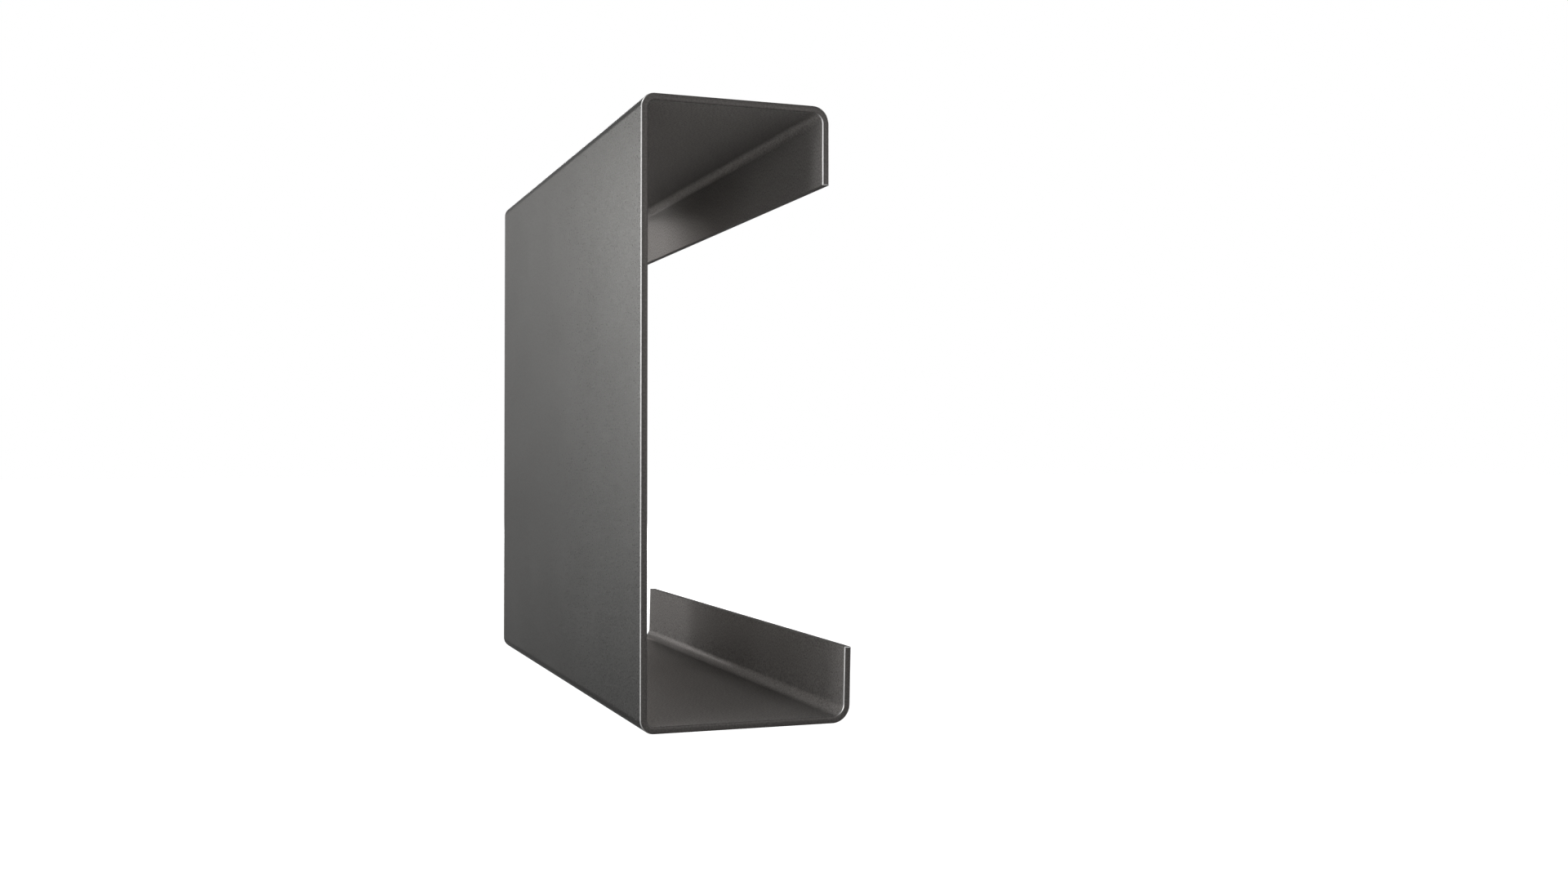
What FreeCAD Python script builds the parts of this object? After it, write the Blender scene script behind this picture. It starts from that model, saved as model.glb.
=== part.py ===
import FreeCAD, Part
import math
import os

# Lipped channel section, cold formed from one strip of steel sheet.
# It stands on its wider flange with the web upright. +X is the open side, +Y runs along the length,
# +Z is up, and the origin is the middle of the footprint on the floor. All lengths are millimetres.

# The section's outside sizes, and the sheet that it is formed from
web_depth = 200.0
top_flange_width = 63.0
bottom_flange_width = 70.3
top_lip_height = 25.5
bottom_lip_height = 24.6
sheet_thickness = 2.3

# The bottom lip has sprung back a little past square: its tip leans away from the web by these degrees
bottom_lip_lean = 1.2

# Inside radii of the bends: the two web bends are pressed tighter than the lip bends
web_bend_inside = 2.2
top_lip_bend_inside = 3.3
bottom_lip_bend_inside = 3.7

# The length that the section is cut to, and the chamfer that takes the burr off both cut ends
cut_length = 240.0
cut_end_chamfer = 0.3

# An edge that spans less than this along the length lies in the plane of a cut
in_one_plane = 1e-3


def point(x, z):
    """A point of the section, which is drawn in the plane of the near cut end."""
    return FreeCAD.Vector(x - overall_width() / 2, -cut_length / 2, z)


def lip_tip_reach():
    """How far the bottom lip's tip leans out past the sharp corner at the lip's root."""
    return bottom_lip_height * math.sin(math.radians(bottom_lip_lean))


def overall_width():
    """From the web's outer face to the outermost of the two flanges and the leaning tip."""
    return max(top_flange_width, bottom_flange_width, bottom_flange_width + lip_tip_reach())


def outside_corners():
    """Sharp corners of the sheet's outer face, from the bottom lip's tip round to the top lip's tip."""
    bottom_tip_height = bottom_lip_height * math.cos(math.radians(bottom_lip_lean))
    return [
        point(bottom_flange_width + lip_tip_reach(), bottom_tip_height),
        point(bottom_flange_width, 0),
        point(0, 0),
        point(0, web_depth),
        point(top_flange_width, web_depth),
        point(top_flange_width, web_depth - top_lip_height),
    ]


def outside_radii():
    """The outer radius of each bend, in the same order: the inside radius and one sheet thickness."""
    inside = (bottom_lip_bend_inside, web_bend_inside, web_bend_inside, top_lip_bend_inside)
    return [radius + sheet_thickness for radius in inside]


def bend(before, corner, after, radius):
    """The arc that rounds one corner of the outer face, tangent to the flats on both sides of it."""
    to_before = (before - corner).normalize()
    to_after = (after - corner).normalize()
    half_angle = to_before.getAngle(to_after) / 2
    setback = radius / math.tan(half_angle)
    crown_depth = radius / math.sin(half_angle) - radius
    crown = corner + (to_before + to_after).normalize() * crown_depth
    return Part.Arc(corner + to_before * setback, crown, corner + to_after * setback)


def outer_face_line():
    """The sheet's outer face in the section: five flats joined by four bends, as one open wire."""
    corners = outside_corners()
    edges = []
    flat_start = corners[0]
    for i, radius in enumerate(outside_radii()):
        arc = bend(corners[i], corners[i + 1], corners[i + 2], radius)
        edges.append(Part.LineSegment(flat_start, arc.StartPoint).toShape())
        edges.append(arc.toShape())
        flat_start = arc.EndPoint
    edges.append(Part.LineSegment(flat_start, corners[-1]).toShape())
    return Part.Wire(edges)


def sheet_section():
    """The outer face line and its offset one sheet thickness inside it, closed at the two lip tips."""
    return outer_face_line().makeOffset2D(-sheet_thickness, fill=True, openResult=True)


def cut_edges(channel):
    """The edges round both cut ends: all those that don't run along the length."""
    return [edge for edge in channel.Edges if edge.BoundBox.YLength < in_one_plane]


def lipped_channel():
    """The section carried along the length, with the edges of both cut ends chamfered."""
    channel = sheet_section().extrude(FreeCAD.Vector(0, cut_length, 0))
    return channel.makeChamfer(cut_end_chamfer, cut_edges(channel))


def main():
    channel = lipped_channel()
    os.makedirs("parts", exist_ok=True)
    channel.exportStep("parts/lipped_channel.step")
    print(f"lipped_channel: {len(channel.Solids)} solid, {len(channel.Faces)} faces, {channel.Volume:.0f} mm3")


main()
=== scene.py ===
import math

import bpy
import numpy as np
from mathutils import Matrix, Vector


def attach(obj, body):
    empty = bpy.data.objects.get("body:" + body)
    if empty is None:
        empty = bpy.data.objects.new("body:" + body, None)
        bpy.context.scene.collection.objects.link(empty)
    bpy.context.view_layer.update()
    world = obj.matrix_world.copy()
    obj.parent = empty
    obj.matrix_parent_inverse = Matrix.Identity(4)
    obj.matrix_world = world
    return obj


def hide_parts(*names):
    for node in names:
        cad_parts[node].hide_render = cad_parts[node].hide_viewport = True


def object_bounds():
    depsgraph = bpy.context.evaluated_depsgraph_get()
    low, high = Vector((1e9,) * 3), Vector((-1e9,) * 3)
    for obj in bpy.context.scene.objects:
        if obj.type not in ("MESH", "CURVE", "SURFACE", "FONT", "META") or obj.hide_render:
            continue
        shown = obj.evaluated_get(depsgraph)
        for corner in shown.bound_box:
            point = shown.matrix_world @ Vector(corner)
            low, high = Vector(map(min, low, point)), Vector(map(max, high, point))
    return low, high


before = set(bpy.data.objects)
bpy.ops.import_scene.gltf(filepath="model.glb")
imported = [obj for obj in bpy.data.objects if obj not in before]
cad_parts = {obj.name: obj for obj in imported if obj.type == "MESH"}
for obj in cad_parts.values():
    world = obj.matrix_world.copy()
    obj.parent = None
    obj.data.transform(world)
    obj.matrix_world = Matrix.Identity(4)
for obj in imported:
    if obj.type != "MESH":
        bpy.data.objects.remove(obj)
cadLow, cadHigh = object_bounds()
mm = 0.001
print("frame loaded")

# A length of cold-formed lipped channel, dark uncoated steel, standing on its wider flange.
# +X is the open side, +Y the length, +Z up. All sizes are outside sizes of the sheet.
channel = {
    "depth": cadHigh.z - cadLow.z,
    "length": cadHigh.y - cadLow.y,
    "webFace": cadLow.x,                 # where the web's outer face stands
    "topFlange": 63.0 * mm,
    "bottomFlange": 70.3 * mm,
    "topLip": 25.5 * mm,
    "bottomLip": 24.6 * mm,
    "bottomLipLean": math.radians(1.2),  # the tip leans away from the web
    "sheet": 2.3 * mm,
    "webBend": 4.5 * mm,                 # outer radii
    "topLipBend": 5.6 * mm,
    "bottomLipBend": 6.0 * mm,
    "bendSteps": 20,
    "flatShares": (0.0, 0.012, 0.1, 0.3, 0.5, 0.7, 0.9, 0.988),   # where a flat has points along it
}

# The cut ends: a small chamfer all round, and a face that is very slightly crowned between the chamfers
cutEnd = {
    "chamfer": 0.3 * mm,
    "crownSlope": math.radians(9.4),     # how far the face leans back where it meets the chamfers
    "crownShare": 0.96,                  # the part of the face that the crown's arc takes
    "softening": 0.05 * mm,              # radius of the chamfer's own two edges
    "crownSteps": 8,
    "tipRounding": 0.06 * mm,            # the long edges of the lip tips
    "tipSteps": 4,
    "tipApproach": (0.28 * mm, 0.2 * mm, 0.12 * mm),   # rows before the tip's rounding, from the tip's plane
    # the cut's tone is painted shade, and the chamfer's bright line is a painted highlight
    "cutTone": 0.6,                      # a surface that faces the end this far has the cut's full tone
    "chamferFade": (0.8, 0.95),          # where the chamfer's bright line gives way to the cut's tone
    "tipTone": 0.5,                      # how much of the cut's tone the lip tips have
}


# A polygon whose corners are arcs. Each arc is tangent to the two sides of its corner, so that
# radius / tan(half the corner's angle) is cut off each side; its normal turns evenly from one side's
# normal to the other's, and a point of it is the centre plus the radius times that normal. Between the
# arcs the sides are straight, with points at the given shares. Returns points and outward normals.
def roundedLine(corners, radii, arcSteps, flatShares, closed=False):
    corners, radii = np.asarray(corners, float), np.asarray(radii, float)[:, None]
    if closed:
        at, before, after = corners, np.roll(corners, 1, axis=0), np.roll(corners, -1, axis=0)
    else:
        at, before, after = corners[1:-1], corners[:-2], corners[2:]
    toBefore = (before - at) / np.linalg.norm(before - at, axis=1, keepdims=True)
    toAfter = (after - at) / np.linalg.norm(after - at, axis=1, keepdims=True)
    cosine = (toBefore * toAfter).sum(axis=1, keepdims=True)
    half = np.arccos(cosine) / 2
    firstNormal = cosine * toBefore - toAfter
    firstNormal /= np.linalg.norm(firstNormal, axis=1, keepdims=True)
    lastNormal = cosine * toAfter - toBefore
    lastNormal /= np.linalg.norm(lastNormal, axis=1, keepdims=True)
    middle = (toBefore + toAfter) / np.linalg.norm(toBefore + toAfter, axis=1, keepdims=True)
    centres = at + middle * radii / np.sin(half)

    turn = (math.pi - 2 * half)[:, :, None]
    share = np.linspace(0, 1, arcSteps + 1)[None, :, None]
    arcNormals = (np.sin((1 - share) * turn) * firstNormal[:, None]
                  + np.sin(share * turn) * lastNormal[:, None]) / np.sin(turn)
    arcs = centres[:, None] + radii[:, None] * arcNormals

    arcStarts, arcEnds = arcs[:, 0], arcs[:, -1]
    shares = np.asarray(flatShares)[None, :, None]
    if closed:
        shares = shares[:, 1:]           # each side starts at the last point of the arc before it
        flatFrom, flatTo, flatNormal = np.roll(arcEnds, 1, axis=0), arcStarts, firstNormal
    else:
        flatFrom = np.vstack([corners[:1], arcEnds])
        flatTo = np.vstack([arcStarts, corners[-1:]])
        flatNormal = np.vstack([firstNormal, lastNormal[-1:]])
    flats = flatFrom[:, None] + shares * (flatTo - flatFrom)[:, None]
    flatNormals = np.broadcast_to(flatNormal[:, None], flats.shape)
    count = len(arcs)
    points = np.concatenate([flats[:count], arcs], axis=1).reshape(-1, 2)
    normals = np.concatenate([flatNormals[:count], arcNormals], axis=1).reshape(-1, 2)
    if not closed:
        points = np.vstack([points, flats[-1], corners[-1:]])
        normals = np.vstack([normals, flatNormals[-1], flatNormal[-1:]])
    return points, normals


# The sheet's outer face in the XZ plane, from the bottom lip's tip to the top lip's tip. It stops a
# chamfer short of each tip, where the tip's own rows begin.
def sectionLine():
    c = channel
    lean = np.array([math.sin(c["bottomLipLean"]), math.cos(c["bottomLipLean"])])
    corners = np.array([
        (c["bottomFlange"], 0.0), (0.0, 0.0), (0.0, c["depth"]), (c["topFlange"], c["depth"]),
    ])
    bottomTip = corners[0] + lean * (c["bottomLip"] - cutEnd["chamfer"])
    topTip = corners[-1] - (0.0, c["topLip"] - cutEnd["chamfer"])
    corners = np.vstack([bottomTip, corners, topTip]) + (c["webFace"], 0.0)
    radii = (c["bottomLipBend"], c["webBend"], c["webBend"], c["topLipBend"])
    return roundedLine(corners, radii, c["bendSteps"], c["flatShares"])


# The sheet's closed outline seen across its width: depth into the sheet against Y. Two long faces, and at
# each cut end a chamfer, a crowned face and a second chamfer. The crown's arc fills its share of each side
# of a flat roof of the given slope, and touches the end's plane: the roof's ridge stands
# radius / cos(slope) - radius outside it.
def sheetLoop():
    sheet, halfLength = channel["sheet"], channel["length"] / 2
    bevel, slope, soft = cutEnd["chamfer"], cutEnd["crownSlope"], cutEnd["softening"]
    crownHalf = sheet / 2 - bevel
    crownRadius = cutEnd["crownShare"] * crownHalf / math.sin(slope)
    ridge = halfLength + crownRadius / math.cos(slope) - crownRadius
    eaves = ridge - crownHalf * math.tan(slope)
    nearEnd = [
        (0, bevel - halfLength), (bevel, -eaves), (sheet / 2, -ridge), (sheet - bevel, -eaves),
        (sheet, bevel - halfLength),
    ]
    corners = np.array(nearEnd + [(depth, -y) for depth, y in reversed(nearEnd)])
    radii = [soft, soft, crownRadius, soft, soft] * 2
    return roundedLine(corners, radii, cutEnd["crownSteps"], channel["flatShares"], closed=True)


# Rows that close a lip's tip. Each is (distance left to the tip plane, inset of the loop, how far the
# normal has turned to face along the sheet): a few rows straight on, a quarter circle of the tip's rounding
# where distance = rounding * (1 - sin(turn)) and inset = rounding * (1 - cos(turn)), and the flat of the
# tip, gathered to its middle.
def tipRows():
    rounding = cutEnd["tipRounding"]
    turn = np.linspace(0, math.pi / 2, cutEnd["tipSteps"] + 1)
    straight = np.zeros(len(cutEnd["tipApproach"]))
    distance = np.concatenate([cutEnd["tipApproach"], rounding * (1 - np.sin(turn)), [0.0]])
    inset = np.concatenate([straight, rounding * (1 - np.cos(turn)), [rounding]])
    facing = np.concatenate([straight, turn, [math.pi / 2]])
    return distance, inset, facing


# Rows of points round the sheet's loop: origin(row) - depth * outward(row) in the XZ plane, and their Y
def rowPoints(origins, outwards, depth, y):
    flat = origins[:, None] - depth[..., None] * outwards[:, None]
    return np.stack([flat[..., 0], np.broadcast_to(y, flat.shape[:2]), flat[..., 1]], axis=-1)


# Their normals: the loop's normals with their depth turned to -outward(row), plus the share along the line
def rowNormals(outwards, along, loopNormals):
    flat = -loopNormals[..., :1] * outwards[:, None] + along
    return np.stack([flat[..., 0], loopNormals[..., 1], flat[..., 1]], axis=-1)


# Three values from 0 to 1 for each row and loop point: inside the channel (the depth as a share of the
# sheet), on a cut end, and on a chamfer with a painted highlight. The material paints light into the
# inside and painted shade onto the cut ends. The painted highlight lies on the chamfers of the lips and of
# the web's outside, where the line's normal lies across the web; on the flanges and inside the web the
# chamfers keep the cut's painted shade.
def sheetZones(lineNormal, loop, loopNormal):
    inside = np.clip(loop[:, 0] / channel["sheet"], 0, 1)
    facesEnd = np.abs(loopNormal[:, 1])
    cutFace = np.clip(facesEnd / cutEnd["cutTone"], 0, 1)
    fadeFrom, fadeTo = cutEnd["chamferFade"]
    chamfer = cutFace * (1 - np.clip((facesEnd - fadeFrom) / (fadeTo - fadeFrom), 0, 1))
    acrossWeb = lineNormal[:, :1]
    # painted highlight on the web's outer chamfers and on the lips' chamfers
    paintedHighlightShare = acrossWeb ** 2 * np.where(acrossWeb < 0, 1 - inside, 1)
    return np.stack(np.broadcast_arrays(inside, cutFace, chamfer * paintedHighlightShare), axis=-1)


# The rows that go on past one end of the line: the loop moved along, drawn in by its inset, cut back to
# the chamfer's plane |y| <= half the length - chamfer + distance to the tip, and closed
def lipTip(origin, outward, along, loop, loopNormal, zones):
    bevel = cutEnd["chamfer"]
    distance, inset, facing = (row[:, None] for row in tipRows())
    origins = origin + (bevel - distance) * along
    outwards = np.broadcast_to(outward, origins.shape)
    depth = loop[None, :, 0] - loopNormal[None, :, 0] * inset
    depth[-1] = channel["sheet"] / 2
    y = loop[None, :, 1] - loopNormal[None, :, 1] * inset
    limit = channel["length"] / 2 - bevel + distance
    cut = np.abs(y) > limit
    points = rowPoints(origins, outwards, depth, np.clip(y, -limit, limit))

    turnedOut = loopNormal[None] * np.cos(facing)[..., None]
    normals = rowNormals(outwards, np.sin(facing)[..., None] * along, turnedOut)
    cutNormal = np.stack([np.full(y.shape, along[0]), np.sign(y), np.full(y.shape, along[1])], axis=-1)
    normals = np.where(cut[..., None], cutNormal / math.sqrt(2), normals)

    zones = np.broadcast_to(zones, points.shape).copy()
    # the lip tips take part of the cut ends' painted shade; points cut back to the chamfer's plane take the
    # painted highlight
    onTip = (distance < cutEnd["tipRounding"]) & ~cut
    zones[..., 1] = np.where(onTip, cutEnd["tipTone"], np.where(cut, 0, zones[..., 1]))
    zones[..., 2] = np.where(cut, 1, zones[..., 2])
    return points, normals, zones


# Surface(u, v) = line(u) - depth(v) * normal(u) + Y * y(v): the sheet's loop carried along the section's
# line, with the rows of a lip's tip before and after it. Returns points, normals and zones on one grid.
def channelSurface():
    line, lineNormal = sectionLine()
    loop, loopNormal = sheetLoop()
    depth = np.broadcast_to(loop[:, 0], (len(line), len(loop)))
    everyNormal = np.broadcast_to(loopNormal, (len(line), *loop.shape))
    zones = sheetZones(lineNormal, loop, loopNormal)
    points = rowPoints(line, lineNormal, depth, loop[None, :, 1])
    normals = rowNormals(lineNormal, 0.0, everyNormal)

    pastFirst = np.array([-lineNormal[0, 1], lineNormal[0, 0]])
    pastLast = np.array([lineNormal[-1, 1], -lineNormal[-1, 0]])
    firstTip = lipTip(line[0], lineNormal[0], pastFirst, loop, loopNormal, zones[0])
    lastTip = lipTip(line[-1], lineNormal[-1], pastLast, loop, loopNormal, zones[-1])
    layers = zip(firstTip, (points, normals, zones), lastTip)
    return [np.concatenate([first[::-1], middle, last]) for first, middle, last in layers]


# One closed mesh from a grid that is a ring along its second side. Points that fall together are one
# vertex, with their mean normal and the largest of their zones, and faces that have shrunk to a line are
# left out.
def meshFromGrid(name, points, normals, zones):
    togetherDigits = 8                   # points that agree to a hundredth of a micrometre are one
    rows, columns = points.shape[:2]
    index = np.arange(rows * columns).reshape(rows, columns)
    right = np.roll(index, -1, axis=1)
    quads = np.stack([index[:-1], right[:-1], right[1:], index[1:]], axis=-1).reshape(-1, 4)
    flatPoints, flatNormals = points.reshape(-1, 3), normals.reshape(-1, 3)
    _, first, merged = np.unique(
        np.round(flatPoints, togetherDigits), axis=0, return_index=True, return_inverse=True)
    merged = merged.reshape(-1)
    vertices = flatPoints[first]
    vertexNormals = np.zeros_like(vertices)
    np.add.at(vertexNormals, merged, flatNormals)
    vertexNormals /= np.linalg.norm(vertexNormals, axis=1, keepdims=True)
    vertexZones = np.zeros_like(vertices)
    np.maximum.at(vertexZones, merged, zones.reshape(-1, 3))
    triangles = merged[np.concatenate([quads[:, [0, 1, 2]], quads[:, [0, 2, 3]]])]
    whole = ((triangles[:, 0] != triangles[:, 1]) & (triangles[:, 1] != triangles[:, 2])
             & (triangles[:, 2] != triangles[:, 0]))
    triangles = triangles[whole]

    mesh = bpy.data.meshes.new(name)
    mesh.from_pydata(vertices, [], triangles.tolist())
    mesh.polygons.foreach_set("use_smooth", np.ones(len(triangles), bool))
    mesh.update()
    mesh.normals_split_custom_set_from_vertices(vertexNormals)
    mesh.attributes.new("zones", "FLOAT_VECTOR", "POINT").data.foreach_set("vector", vertexZones.ravel())
    mesh.validate()
    return mesh, vertices, triangles


# Dark uncoated strip steel: satin, with a fine grain in its colour and its relief, and faint clouds in its
# tone and roughness. The mesh's zones blend four values of each: outside, inside the channel (lighter, as
# painted light), the cut ends (darker, as painted shade) and the chamfer lines (light, as painted
# highlight).
steel = {
    "outside": (0.2, 0.1986, 0.196, 1),
    # painted light: the inside of the channel is coloured lighter than the outside
    "inside": (0.264, 0.253, 0.246, 1),
    # painted shade: the cut ends are coloured darker than the sheet's faces
    "cutFace": (0.084, 0.079, 0.076, 1),
    # painted highlight: the bright lines along the chamfers
    "paintedHighlightEdge": (0.5, 0.498, 0.494, 1),
    "bareMetal": (1.0, 0.39, 0.5, 1.0),      # how metallic each of the four is
    "roughness": (0.005, 0.33),              # how far the clouds change it, and its middle
    "edgeTint": (0.15, 0.15, 0.15, 1),       # holds back the shine at grazing angles
    "grainPerMetre": 1700,
    "grainDetail": 2.0,
    "grainDepth": (0.26, 0.46, 0.26, 0.1),   # how much the grain darkens and lightens each of the four
    "cloudsPerMetre": 28,
    "cloudDetail": 4.0,
    "cloudDepth": 0.012,
    "reliefHeight": 0.002 * mm,
}


def steelMaterial():
    material = bpy.data.materials.new("millSteel")
    material.use_nodes = True
    nodes, links = material.node_tree.nodes, material.node_tree.links
    nodes.clear()
    output = nodes.new("ShaderNodeOutputMaterial")
    shader = nodes.new("ShaderNodeBsdfPrincipled")
    shader.inputs["Specular IOR Level"].default_value = 0.0   # only the metal share shines
    shader.inputs["Specular Tint"].default_value = steel["edgeTint"]
    links.new(shader.outputs[0], output.inputs[0])
    place = nodes.new("ShaderNodeTexCoord")
    zones = nodes.new("ShaderNodeAttribute")
    zones.attribute_name = "zones"
    split = nodes.new("ShaderNodeSeparateXYZ")
    links.new(zones.outputs["Vector"], split.inputs[0])

    # Mixes the first value with each of the others in turn, by the share of its zone
    def blendZones(kind, values):
        socketType = "RGBA" if kind == "RGBA" else "VALUE"
        last = None
        for zone, value in zip(split.outputs, values[1:]):
            mix = nodes.new("ShaderNodeMix")
            mix.data_type = kind
            ofType = [socket for socket in [*mix.inputs, *mix.outputs] if socket.type == socketType]
            first, second, result = [socket for socket in ofType if socket.name in ("A", "B", "Result")]
            if last is None:
                first.default_value = values[0]
            else:
                links.new(last, first)
            second.default_value = value
            links.new(zone, mix.inputs["Factor"])
            last = result
        return last

    # A noise on Object coordinates, about -1 to 1: the texture keeps mostly to 0.25 to 0.75
    def noise(perMetre, detail):
        texture = nodes.new("ShaderNodeTexNoise")
        texture.inputs["Scale"].default_value = perMetre
        texture.inputs["Detail"].default_value = detail
        links.new(place.outputs["Object"], texture.inputs["Vector"])
        level = nodes.new("ShaderNodeMapRange")
        level.inputs["From Min"].default_value, level.inputs["From Max"].default_value = 0.25, 0.75
        level.inputs["To Min"].default_value = -1.0
        level.clamp = False
        links.new(texture.outputs["Fac"], level.inputs["Value"])
        return level.outputs["Result"]

    # a * b + c, where each is a number or another node's socket
    def multiplyAdd(*terms):
        result = nodes.new("ShaderNodeMath")
        result.operation = "MULTIPLY_ADD"
        for socket, term in zip(result.inputs, terms):
            if isinstance(term, bpy.types.NodeSocket):
                links.new(term, socket)
            else:
                socket.default_value = term
        return result.outputs[0]

    grain = noise(steel["grainPerMetre"], steel["grainDetail"])
    clouds = noise(steel["cloudsPerMetre"], steel["cloudDetail"])
    cloudTone = multiplyAdd(clouds, steel["cloudDepth"], 1.0)
    tone = multiplyAdd(grain, blendZones("FLOAT", steel["grainDepth"]), cloudTone)
    # the outside colour, the inside with painted light, the cut ends with painted shade, the chamfers with
    # painted highlight
    zoneColours = [steel[zone] for zone in ("outside", "inside", "cutFace", "paintedHighlightEdge")]
    colour = nodes.new("ShaderNodeVectorMath")
    colour.operation = "SCALE"
    links.new(blendZones("RGBA", zoneColours), colour.inputs[0])
    links.new(tone, colour.inputs["Scale"])
    links.new(colour.outputs[0], shader.inputs["Base Color"])
    links.new(blendZones("FLOAT", steel["bareMetal"]), shader.inputs["Metallic"])
    links.new(multiplyAdd(clouds, *steel["roughness"]), shader.inputs["Roughness"])

    relief = nodes.new("ShaderNodeBump")
    relief.inputs["Distance"].default_value = steel["reliefHeight"]
    relief.inputs["Strength"].default_value = 1.0
    links.new(grain, relief.inputs["Height"])
    links.new(relief.outputs["Normal"], shader.inputs["Normal"])
    return material


def buildChannel():
    points, normals, zones = channelSurface()
    mesh, vertices, triangles = meshFromGrid("lippedChannel", points, normals, zones)
    a, b, c = (vertices[triangles[:, i]] for i in range(3))
    volume = (np.cross(a, b) * c).sum() / 6
    print(f"channel: {len(vertices)} vertices, {len(triangles)} triangles, {volume * 1e9:.0f} mm3")
    piece = bpy.data.objects.new("lippedChannel", mesh)
    bpy.context.scene.collection.objects.link(piece)
    mesh.materials.append(steelMaterial())
    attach(piece, "root")
    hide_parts("lipped_channel")
    return piece


buildChannel()

# Pairs are one level for the camera and one for reflections; 1 is white
studio = {
    "floorSize": 12.0,
    "floorColour": (0.8, 0.8, 0.8, 1),
    "floorGlow": (0.97, 0.3),            # added to the light that falls on the floor
    "backdrop": (1.0, 1.0),
    "fill": 0.05,                        # world light that falls on matt surfaces
}


# One level for what the camera sees, one for what metal and glass reflect or show, and 0 for matt surfaces
def seenLevel(nodes, links, forCamera, forReflections):
    path = nodes.new("ShaderNodeLightPath")
    levels = []
    for ray, level in (("Camera", forCamera), ("Glossy", forReflections), ("Transmission", forReflections)):
        share = nodes.new("ShaderNodeMath")
        share.operation = "MULTIPLY"
        share.inputs[1].default_value = level
        links.new(path.outputs["Is " + ray + " Ray"], share.inputs[0])
        levels.append(share.outputs[0])
    total = levels[0]
    for level in levels[1:]:
        larger = nodes.new("ShaderNodeMath")
        larger.operation = "MAXIMUM"
        links.new(total, larger.inputs[0])
        links.new(level, larger.inputs[1])
        total = larger.outputs[0]
    return total


def buildFloor():
    half = studio["floorSize"] / 2
    mesh = bpy.data.meshes.new("studioFloor")
    corners = [(-half, -half, 0), (half, -half, 0), (half, half, 0), (-half, half, 0)]
    mesh.from_pydata(corners, [], [(0, 1, 2, 3)])
    floor = bpy.data.objects.new("studioFloor", mesh)
    bpy.context.scene.collection.objects.link(floor)
    material = bpy.data.materials.new("paleFloor")
    material.use_nodes = True
    nodes, links = material.node_tree.nodes, material.node_tree.links
    nodes.clear()
    output = nodes.new("ShaderNodeOutputMaterial")
    matt = nodes.new("ShaderNodeBsdfDiffuse")
    matt.inputs["Color"].default_value = studio["floorColour"]
    glow = nodes.new("ShaderNodeEmission")
    links.new(seenLevel(nodes, links, *studio["floorGlow"]), glow.inputs["Strength"])
    both = nodes.new("ShaderNodeAddShader")
    links.new(matt.outputs[0], both.inputs[0])
    links.new(glow.outputs[0], both.inputs[1])
    links.new(both.outputs[0], output.inputs[0])
    mesh.materials.append(material)


def buildWorld():
    world = bpy.data.worlds.new("studio")
    bpy.context.scene.world = world
    world.use_nodes = True
    nodes, links = world.node_tree.nodes, world.node_tree.links
    nodes.clear()
    output = nodes.new("ShaderNodeOutputWorld")
    light = nodes.new("ShaderNodeBackground")
    light.inputs["Color"].default_value = (1, 1, 1, 1)
    level = nodes.new("ShaderNodeMath")
    level.operation = "MAXIMUM"
    level.inputs[1].default_value = studio["fill"]
    links.new(seenLevel(nodes, links, *studio["backdrop"]), level.inputs[0])
    links.new(level.outputs[0], light.inputs["Strength"])
    links.new(light.outputs[0], output.inputs[0])


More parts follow.
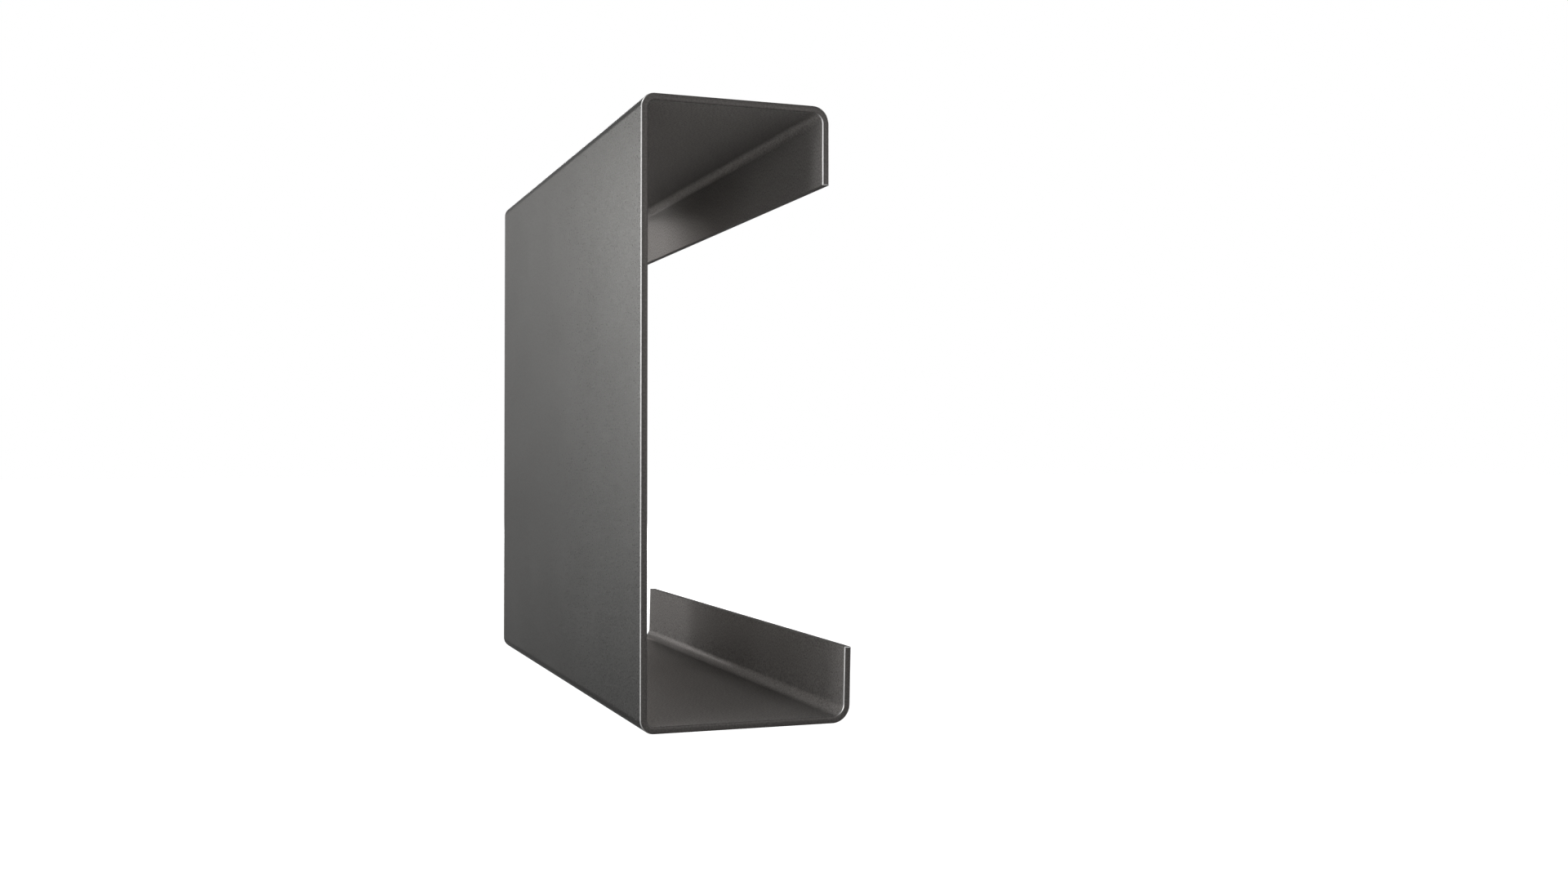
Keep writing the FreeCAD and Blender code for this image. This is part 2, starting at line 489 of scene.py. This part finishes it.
# Softboxes: heading in degrees from +Y towards -X, rise in degrees above the level of the channel's middle,
# and how bright the panel is (1 is the backdrop's white). Distance, width and height are in metres.
softboxDistance = 1.4
narrow, wide = (0.171, 0.245), (0.4, 0.4)
softboxes = {
    "backLow": dict(heading=43, rise=-1, size=narrow, glow=32.0),
    "backLeft": dict(heading=35, rise=8, size=narrow, glow=16.7),
    "backHigh": dict(heading=28, rise=14, size=narrow, glow=14.9),
    "back": dict(heading=350, rise=16, size=narrow, glow=19.0),
    "backRight": dict(heading=320, rise=8, size=wide, glow=22.0),
    "right": dict(heading=280, rise=25, size=wide, glow=4.0),
    "front": dict(heading=200, rise=8, size=wide, glow=1.5),
    "frontLeft": dict(heading=150, rise=6, size=wide, glow=8.0),
    "left": dict(heading=100, rise=8, size=wide, glow=13.0),
    "leftHigh": dict(heading=125, rise=45, size=wide, glow=5.0),
}


# An area light whose radiance is its glow: watts = glow * pi * width * height
def buildSoftbox(name, heading, rise, size, glow):
    width, height = size
    data = bpy.data.lights.new(name, "AREA")
    data.shape = "RECTANGLE"
    data.size, data.size_y = width, height
    data.energy = glow * math.pi * width * height
    lamp = bpy.data.objects.new(name, data)
    turn, up = math.radians(heading), math.radians(rise)
    direction = Vector((-math.sin(turn) * math.cos(up), math.cos(turn) * math.cos(up), math.sin(up)))
    middle = (cadLow + cadHigh) / 2
    lamp.location = middle + direction * softboxDistance
    lamp.rotation_euler = direction.to_track_quat("Z", "Y").to_euler()
    lamp.visible_camera = False
    bpy.context.scene.collection.objects.link(lamp)


buildFloor()
buildWorld()
for name, box in softboxes.items():
    buildSoftbox(name, **box)
print("studio built")

# The camera: a 36 mm lens on a 36 mm wide frame, nearly level, to the left of the near cut end
view = {
    "location": (-0.1608966, -0.5923665, 0.0861865),
    "turnRight": math.radians(20.1079),
    "tiltUp": math.radians(0.5969),
    "roll": math.radians(0.0533),
    "lens": 36.0,
    "frameWidth": 36.0,
    "nearest": 0.01,
    "farthest": 50.0,
}


def buildCamera():
    data = bpy.data.cameras.new("camera")
    data.lens, data.sensor_width = view["lens"], view["frameWidth"]
    data.sensor_fit = "HORIZONTAL"
    data.clip_start, data.clip_end = view["nearest"], view["farthest"]
    camera = bpy.data.objects.new("camera", data)
    camera.matrix_world = (
        Matrix.Translation(view["location"])
        @ Matrix.Rotation(-view["turnRight"], 4, "Z")
        @ Matrix.Rotation(math.pi / 2 + view["tiltUp"], 4, "X")
        @ Matrix.Rotation(view["roll"], 4, "Z")
    )
    bpy.context.scene.collection.objects.link(camera)
    bpy.context.scene.camera = camera


buildCamera()
print("camera placed")
bpy.context.scene.view_settings.view_transform = "Standard"
